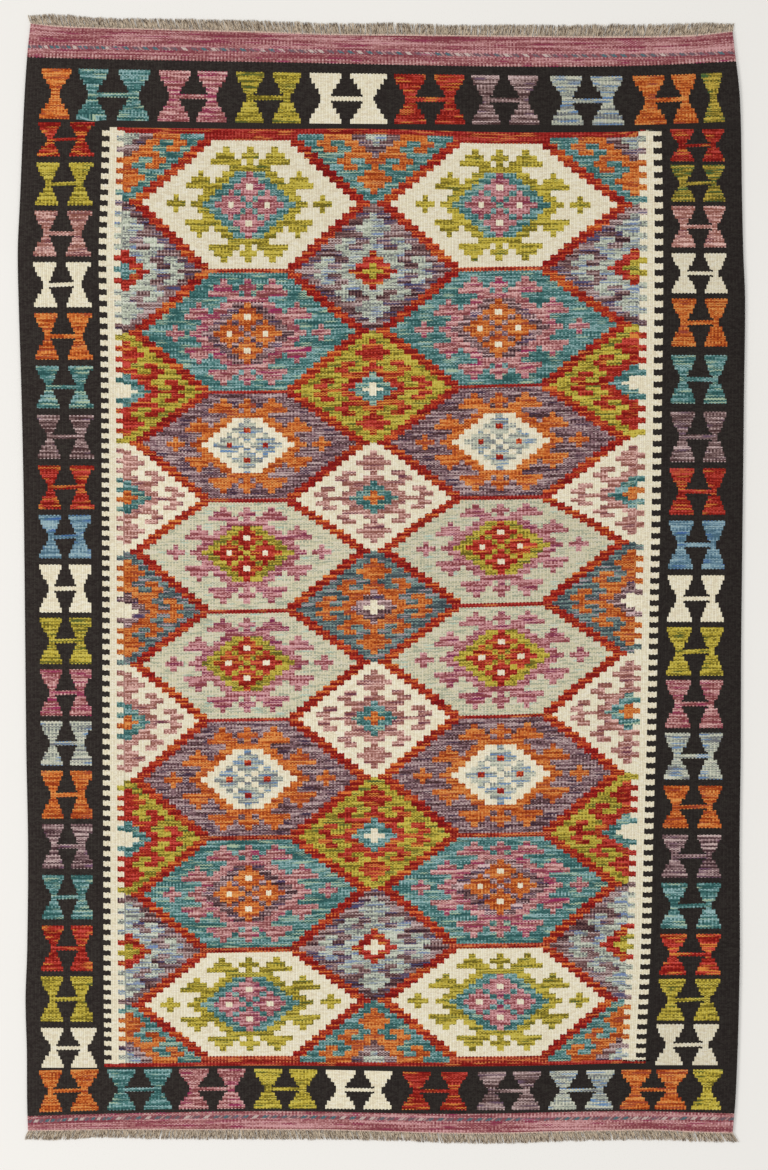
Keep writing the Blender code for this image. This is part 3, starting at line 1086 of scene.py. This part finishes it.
# What a strand and the other one behind it show, each from a share of the turns on: 0 is the
# yarn's darkest colour, half its body and 1 its lightest.
STRAND_TONES = ((0.0, grey(0.0)), (0.3, grey(0.25)), (0.6, grey(0.9)), (0.85, grey(0.12)))
OTHER_TONES = ((0.0, grey(0.5)), (0.45, grey(0.72)))
BESIDE_TONE = (*grey(0.42), 1.0)
PAINTED_SHEEN_SPAN = (0.35, -0.75)  # X from and to which a painted sheen lightens the black more and more, towards where the light comes from
# how much lighter the painted sheen makes the black at most
PAINTED_SHEEN_GAIN = 0.34


def twined_tones(wool, warp, rise, skein, lot):
    """Two strands that take turns to lie on top."""
    tight = warp < WARPS * TIGHT_TURNS
    turns = tight * (TIGHTER / TWINED_TURN) + 1 / TWINED_TURN
    turn = warp * turns + rise * ((skein - 0.5) * TURN_SLANT)
    number = wool.floor(turn)
    strand = wool.chart(wool.lots(wool.point(number, lot, 0.0)), STRAND_TONES)
    other = wool.chart(wool.lots(wool.point(number, lot, 9.0)), OTHER_TONES)
    under_rose = wool.fraction(turn) > tight * TIGHT_SHARE + TWINED_SHARE
    beside = wool.fraction(turn + BESIDE[0]) > BESIDE[1]
    return wool.blend(under_rose, strand, wool.blend(beside, BESIDE_TONE, other))


def wool_material(sizes, yarns):
    """Ribbed weft-faced wool. Each warp lifts every other weft, so a colour shows as short ticks
    that are staggered from warp to warp, and the yarn's uneven dye runs along each weft."""
    wool = Recipe("dyed_wool")
    warp, weft = wool.uv("weave")
    own, above, below = wool.attribute("yarns")
    foot, head, skein = wool.attribute("spans")

    # Which weft shows here, and whether it belongs to this row of the pattern or to the next.
    odd = wool.floor(warp) % 2.0
    pair = wool.floor((weft - odd) / 2.0)
    tick = pair * 2.0 + odd + 1.0
    upward = (tick > head - NEARLY) * (above - own)
    downward = (tick < foot - NEARLY) * (below - own)
    number = own + (upward + downward)

    dark = wool.chart(number, by_yarn(shades_of(yarns, "dark")))
    body = wool.chart(number, by_yarn([getattr(yarns, yarn.name) for yarn in YARNS]))
    light = wool.chart(number, by_yarn(shades_of(yarns, "light")))
    fleck = wool.chart(number, by_yarn(shades_of(yarns, "fleck")))
    habits = [(yarn.ticks, float(yarn.name == "twined"), yarn.flecks) for yarn in YARNS]
    ticks, is_twined, flecks = wool.channels(wool.chart(number, by_yarn(habits)))
    ways = [(yarn.foot, yarn.reach / 2, yarn.grain) for yarn in YARNS]
    foot_line, reach, grain = wool.channels(wool.chart(number, by_yarn(ways)))

    # The uneven dye, which runs along the wefts. Two neighbours come off the same length of yarn.
    lot = skein * LOT_PER_SKEIN + number * LOT_PER_YARN
    along = warp / (reach * (sizes.streak_warps * 2))
    streak = wool.point(along, pair * NEXT_PAIR + odd * NEXT_WEFT, lot)
    tone = wool.spread(wool.noise(streak, detail=1.5), *STREAK)
    broad = wool.noise(wool.point(warp / BROAD_WARPS, pair * BROAD_PAIRS, lot), detail=0.0)
    tone = tone + (broad - 0.5) * (reach * 1.5)
    ticked = wool.noise(wool.point(warp / TICKED_WARPS, pair * TICKED_PAIRS, lot), detail=0.0)
    ticks = wool.maths("MAXIMUM", ticks, wool.spread(ticked, *TICKED) * TICKED_MOST)
    tone = tone + (odd * 0.9 - tone) * ticks
    tone = tone + (wool.lots(wool.point(wool.floor(warp), tick, number)) - 0.5) * grain
    rise = (weft - foot) / (head - foot)
    tone = tone - wool.spread(rise, *FOOT_LINE) * foot_line * FOOT_DEPTH
    twined = twined_tones(wool, warp, rise, skein, lot)
    tone = wool.channels(wool.blend(is_twined, wool.point(tone, tone, tone), twined))[0]

    lower = wool.maths("MULTIPLY", tone, 2.0, clamp=True)
    upper = wool.maths("SUBTRACT", tone * 2.0, 1.0, clamp=True)
    colour = wool.blend(upper, wool.blend(lower, dark, body), light)
    spot = wool.noise(wool.point(warp / FLECK_WARPS, pair, lot), detail=0.0)
    colour = wool.blend(wool.spread(spot + flecks, *FLECKED), colour, fleck)
    # The skein's shade: its dye lot, and for some figures and the ivory painted light and shade as well.
    colour = wool.dimmed(colour, skein * SKEIN_SHADE + (1 - SKEIN_SHADE / 2))

    # The relief: a round rib over each warp, with every tick a little bead on it.
    across = wool.fraction(warp) - 0.5
    off = weft - tick
    relief = (1.0 - across * across * 4.0) * ((1.0 - off * off) * BEAD_SHARE + (1 - BEAD_SHARE))
    # Painted shade and light: the colour is darker in the hollows between ribs and lighter on their crests
    # and on every other weft.
    colour = wool.dimmed(colour, relief * PAINTED_CREST_LIGHT + PAINTED_HOLLOW_SHADE + odd * PAINTED_WEFT_LIGHT)

    # Painted sheen: the black is drawn lighter towards the left selvedge, where the light comes from.
    place = wool.place()
    painted_sheen = wool.spread(wool.parts(place)[0], *PAINTED_SHEEN_SPAN) * (number < 1 / len(YARNS))
    colour = wool.dimmed(colour, painted_sheen * PAINTED_SHEEN_GAIN + 1.0)

    fuzz = wool.noise(place, scale=1800.0, detail=2.0)
    return wool.finish(
        colour, relief + fuzz * 0.35, strength=0.9, depth=sizes.rib_depth,
        roughness=fuzz * 0.2 + 0.80, specular=0.15, sheen=0.05,
    )


def fringe_material():
    """Undyed grey-beige wool, each end a little different, pale where it leaves the weave."""
    wool = Recipe("undyed_wool")
    lot, along = wool.uv("strand")
    streak = wool.noise(wool.point(lot * 50.0, along * 3.0, 0.0), detail=2.0)
    shades = [(*linear(code), 1.0) for code in ("584636", "d2c1aa", "d8bcae")]
    colour = wool.blend(wool.spread(streak, *STREAK), *shades[:2])
    colour = wool.blend(wool.spread(along, 0.24, 0.16), colour, shades[2])
    fuzz = wool.noise(wool.place(), scale=1500.0, detail=2.0)
    return wool.finish(
        colour, fuzz, strength=0.6, depth=0.0004,
        roughness=fuzz * 0.15 + 0.82, specular=0.2, sheen=0.15,
    )


def floor_material(colour):
    """Smooth pale paper with the faintest mottling."""
    paper = Recipe("pale_paper")
    place = paper.place()
    cloud = paper.noise(place, scale=1.3, detail=3.0)
    grain = paper.noise(place, scale=900.0, detail=2.0)
    return paper.finish(
        paper.dimmed((*colour, 1.0), cloud * 0.03 + 0.985), grain, strength=0.2, depth=0.0002,
        roughness=grain * 0.2 + 0.7, specular=0.1,
    )


# -------- the warp ends

PLIES = 4  # strands that a cut warp end opens into
TUCK = 0.0026  # how far a strand starts inside the weaving
HEM_IN = 0.004  # how far inside the hem the height of its root is taken
BEAD = (0.10, 0.20)  # the stretch of a strand that its bead takes up
BEAD_GIRTHS = (1.35, 0.7)  # of a bead, on the two kinds of warps in turn
STRAND_SIDES = 5
# The thickness of a strand along it, as a share of its thickest.
STRAND_RINGS = table(
    "along radius",
    (0.00, 0.80), (0.15, 1.15), (0.22, 0.80), (0.45, 0.95), (0.75, 0.85), (0.96, 0.60), (1.00, 0.25),
)
# How locks differ from one another, and strands within a lock.
LOCK_ENDS = (3, 7)
LOCK_LENGTHS = (0.96, 1.02)
LOCK_LEAN = 0.045
PLY_AWAY = 0.42  # of a warp
PLY_LENGTHS = (0.86, 1.03)
PLY_LEAN = 0.08
PLY_GIRTHS = (0.8, 1.15)
PLY_HEIGHT = 0.0012
PLY_BEND = 0.05  # of its length
PLY_REST = 0.75  # of its radius, that its middle rests above the floor
PLY_FLATNESS = 0.8  # its thickness for its width
LEAST_HEIGHT = 0.0002
GATHERED = 0.1  # how much nearer to the lock's middle a tip may lie than its root


def finish_editing():
    """Turns the faces outwards first."""
    bpy.ops.mesh.select_all(action="SELECT")
    bpy.ops.mesh.normals_make_consistent(inside=False)
    bpy.ops.object.mode_set(mode="OBJECT")


def model_strand():
    """One straight strand of unit length and thickness along Z, drawn out of a disc ring by
    ring. Returns its points and faces."""
    deselect_all()
    bpy.ops.mesh.primitive_circle_add(
        vertices=STRAND_SIDES, radius=STRAND_RINGS[0].radius, fill_type="NGON"
    )
    strand = bpy.context.active_object
    bpy.ops.object.mode_set(mode="EDIT")
    bpy.ops.mesh.select_all(action="SELECT")
    bpy.ops.mesh.flip_normals()
    for before, ring in zip(STRAND_RINGS, STRAND_RINGS[1:]):
        step = (0, 0, ring.along - before.along)
        bpy.ops.mesh.extrude_region_move(TRANSFORM_OT_translate={"value": step})
        scale = ring.radius / before.radius
        bpy.ops.transform.resize(value=(scale, scale, 1))
    finish_editing()
    mesh = strand.data
    points = np.array([vertex.co for vertex in mesh.vertices])
    # Extruding leaves the faces in another order each time, so they are put in one order here.
    faces = sorted(list(polygon.vertices) for polygon in mesh.polygons)
    bpy.data.objects.remove(strand, do_unlink=True)
    bpy.data.meshes.remove(mesh)
    return points, faces


def make_warp_ends(name, hem, sizes, seed):
    """All the warp ends of one hem: each opens into its plies, and neighbours cling together in
    loose locks of a few ends."""
    chance = random.Random(seed)
    points, faces = model_strand()
    t = points[:, 2]
    beaded = (t > BEAD[0]) & (t < BEAD[1])
    outward = 1 if hem[0].stops > 0 else -1
    strands = []
    corners = []
    marks = []
    ends_left = 0
    for end in range(WARPS):
        if ends_left == 0:
            ends_left = chance.randint(*LOCK_ENDS)
            lock_lean = chance.gauss(0, LOCK_LEAN)
            lock_length = chance.uniform(*LOCK_LENGTHS)
            lock_middle = end + ends_left / 2
        ends_left -= 1
        for _ply in range(PLIES):
            warp = end + 0.5 + chance.uniform(-PLY_AWAY, PLY_AWAY)
            share = warp / WARPS
            length = float(between(hem, "share", "length", share))
            length *= lock_length * chance.uniform(*PLY_LENGTHS)
            lean = float(between(hem, "share", "lean", share)) + lock_lean + chance.gauss(0, PLY_LEAN)
            gather = (lock_middle - warp) * WARP_PITCH * chance.uniform(0.0, GATHERED)
            stops = float(hem_line(hem, warp))
            root_x = float(warp_x(warp, stops))
            root_z = float(lift(root_x, stops - outward * HEM_IN, sizes)) + sizes.thickness * 0.5
            radius = sizes.strand_thickness / 2 * chance.uniform(*PLY_GIRTHS)
            rest_z = radius * PLY_REST + chance.uniform(0.0, PLY_HEIGHT)
            reach = TUCK + length
            bend = chance.gauss(0, PLY_BEND) * length
            out = np.clip((t * reach - TUCK) / length, 0, 1)
            x = root_x + lean * length * out + bend * np.sin(math.pi * out) + gather * out
            y = stops - outward * TUCK + outward * reach * t
            z = root_z + (rest_z - root_z) * (out * out * (3 - 2 * out))
            z = np.maximum(z + points[:, 1] * radius * PLY_FLATNESS, LEAST_HEIGHT)
            girth = radius * np.where(beaded, BEAD_GIRTHS[end % 2], 1.0)
            start = len(strands) * len(points)
            strands.append(np.column_stack([x + points[:, 0] * girth, y, z]))
            corners += [[start + corner for corner in face] for face in faces]
            marks.append(np.column_stack([np.full(len(points), chance.random()), t]))
    mesh = bpy.data.meshes.new(name)
    mesh.from_pydata(np.concatenate(strands).tolist(), [], corners)
    add_uv_map(mesh, "strand", np.concatenate(marks))
    ends = new_object(name, mesh)
    make_active(ends)
    bpy.ops.object.mode_set(mode="EDIT")
    finish_editing()
    bpy.ops.object.shade_smooth_by_angle(angle=SMOOTH_ANGLE)
    return ends


# -------- the stage

PHOTO_SIZE = (768, 1170)  # pixels
PIXEL = 0.00214  # what one of them covers on the floor
RUG_ORIGIN_PIXEL = (381.4, 578.45)
SENSOR = 36.0  # millimetres along the frame's long side
FLOOR_SIZE = 24.0
FLOOR_Z = -0.0004
SOFTBOX_PLACE = (-9.0, -1.6, 6.0)
SOFTBOX_SIZE = 3.2
SOFTBOX_COLOUR = (1.0, 0.98, 0.95)
SKY_COLOUR = (1.0, 0.99, 0.97, 1.0)


def make_camera(height):
    """Looks straight down on the rug and frames it as the photograph does."""
    camera = new_object("camera", bpy.data.cameras.new("camera"))
    x = (PHOTO_SIZE[0] / 2 - RUG_ORIGIN_PIXEL[0]) * PIXEL
    y = (RUG_ORIGIN_PIXEL[1] - PHOTO_SIZE[1] / 2) * PIXEL
    camera.location = (x, y, height)
    camera.data.sensor_width = SENSOR
    camera.data.lens = SENSOR * height / (PHOTO_SIZE[1] * PIXEL)
    camera.data.clip_end = 100.0
    bpy.context.scene.camera = camera


def make_softbox(power):
    softbox = new_object("softbox", bpy.data.lights.new("softbox", "AREA"))
    softbox.data.shape = "SQUARE"
    softbox.data.size = SOFTBOX_SIZE
    softbox.data.energy = power
    softbox.data.color = SOFTBOX_COLOUR
    softbox.location = SOFTBOX_PLACE
    direction = -softbox.location.normalized()
    softbox.rotation_euler = direction.to_track_quat("-Z", "Y").to_euler()


def make_floor(colour):
    deselect_all()
    bpy.ops.mesh.primitive_grid_add(
        x_subdivisions=8, y_subdivisions=8, size=FLOOR_SIZE, location=(0, 0, FLOOR_Z)
    )
    floor = bpy.context.active_object
    floor.name = "floor"
    bpy.ops.object.transform_apply(location=True, rotation=True, scale=True)
    floor.data.materials.append(floor_material(colour))


def make_sky(strength):
    world = bpy.data.worlds.new("studio")
    world.use_nodes = True
    background = world.node_tree.nodes["Background"]
    background.inputs["Color"].default_value = SKY_COLOUR
    background.inputs["Strength"].default_value = strength
    bpy.context.scene.world = world


# -------- what a user can change


def length(name, description, default):
    return bpy.props.FloatProperty(
        name=name, description=description, default=default, min=0.0, unit="LENGTH", precision=4
    )


def colour(name, description, default):
    return bpy.props.FloatVectorProperty(
        name=name, description=description, default=default, min=0.0, max=1.0, subtype="COLOR"
    )


class KilimSizes(bpy.types.PropertyGroup):
    """The sizes of the cloth and its warp ends."""

    thickness: length("Thickness", "Of the woven cloth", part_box("kilim_cloth")[1].z)
    edge_curl: length("Edge curl", "How far the right edge stands off the floor", 0.0011)
    waves: length("Waves", "How high the cloth's broad waves are", 0.0012)
    rib_depth: length("Rib depth", "Of the ribs that the warps make", 0.0005)
    strand_thickness: length("Strand", "Thickness of one ply of a warp end", 0.0015)
    streak_warps: bpy.props.FloatProperty(
        name="Streaks", description="Warps that a streak of dye runs across", default=22.0, min=1.0
    )


class KilimYarns(bpy.types.PropertyGroup):
    """The body colour of each yarn. Its darker and lighter lengths follow it."""

    __annotations__ = {
        yarn.name: colour(
            yarn.name.replace("_", " ").capitalize(), "Body colour of this yarn", linear(yarn.body)
        )
        for yarn in YARNS
    }


class KilimStage(bpy.types.PropertyGroup):
    """The floor, the light and the camera."""

    floor: colour("Floor", "Colour of the floor", (0.850, 0.838, 0.816))
    sky: bpy.props.FloatProperty(name="Sky", description="Strength of the even light", default=0.80)
    key: bpy.props.FloatProperty(
        name="Key light", description="Power of the softbox", default=480.0, subtype="POWER"
    )
    height: length("Camera height", "Of the camera over the floor", 7.0)


# -------- operators and panel


class KILIM_OT_warp_ends(bpy.types.Operator):
    """Lay out the cut warp ends along both hems"""

    bl_idname = "kilim.warp_ends"
    bl_label = "Lay out the warp ends"

    def execute(self, context):
        sizes = context.scene.kilim_sizes
        material = fringe_material()
        for name, node, hem, seed in (
            ("warp_ends_top", "fringe_top", TOP_HEM, 11),
            ("warp_ends_bottom", "fringe_bottom", BOTTOM_HEM, 12),
        ):
            ends = make_warp_ends(name, hem, sizes, seed)
            ends.data.materials.append(material)
            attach(ends, "root")
            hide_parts(node)
        return {"FINISHED"}


class KILIM_OT_cloth(bpy.types.Operator):
    """Weave the cloth with its pattern"""

    bl_idname = "kilim.cloth"
    bl_label = "Weave the cloth"

    def execute(self, context):
        sizes = context.scene.kilim_sizes
        cloth = make_cloth(sizes)
        cloth.data.materials.append(wool_material(sizes, context.scene.kilim_yarns))
        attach(cloth, "root")
        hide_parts("kilim_cloth")
        return {"FINISHED"}


class KILIM_OT_stage(bpy.types.Operator):
    """Set up the floor, the light and the camera"""

    bl_idname = "kilim.stage"
    bl_label = "Set up the stage"

    def execute(self, context):
        stage = context.scene.kilim_stage
        make_floor(stage.floor)
        make_sky(stage.sky)
        make_softbox(stage.key)
        make_camera(stage.height)
        context.scene.view_settings.view_transform = "Standard"
        return {"FINISHED"}


class KILIM_PT_panel(bpy.types.Panel):
    """The kilim's sizes, colours and steps"""

    bl_label = "Kilim rug"
    bl_idname = "KILIM_PT_panel"
    bl_space_type = "VIEW_3D"
    bl_region_type = "UI"
    bl_category = "Kilim"

    def draw(self, context):
        for name, kind in GROUPS.items():
            group = getattr(context.scene, name)
            box = self.layout.box()
            for setting in kind.__annotations__:
                box.prop(group, setting)
        for operator in OPERATORS:
            self.layout.operator(operator.bl_idname)


GROUPS = {"kilim_sizes": KilimSizes, "kilim_yarns": KilimYarns, "kilim_stage": KilimStage}
OPERATORS = (KILIM_OT_warp_ends, KILIM_OT_cloth, KILIM_OT_stage)
CLASSES = (*GROUPS.values(), *OPERATORS, KILIM_PT_panel)


def register():
    for each in CLASSES:
        bpy.utils.register_class(each)
    for name, group in GROUPS.items():
        setattr(bpy.types.Scene, name, bpy.props.PointerProperty(type=group))


def unregister():
    for name in GROUPS:
        delattr(bpy.types.Scene, name)
    for each in reversed(CLASSES):
        bpy.utils.unregister_class(each)


def main():
    register()
    bpy.ops.kilim.warp_ends()
    bpy.ops.kilim.cloth()
    bpy.ops.kilim.stage()


if __name__ == "__main__":
    main()
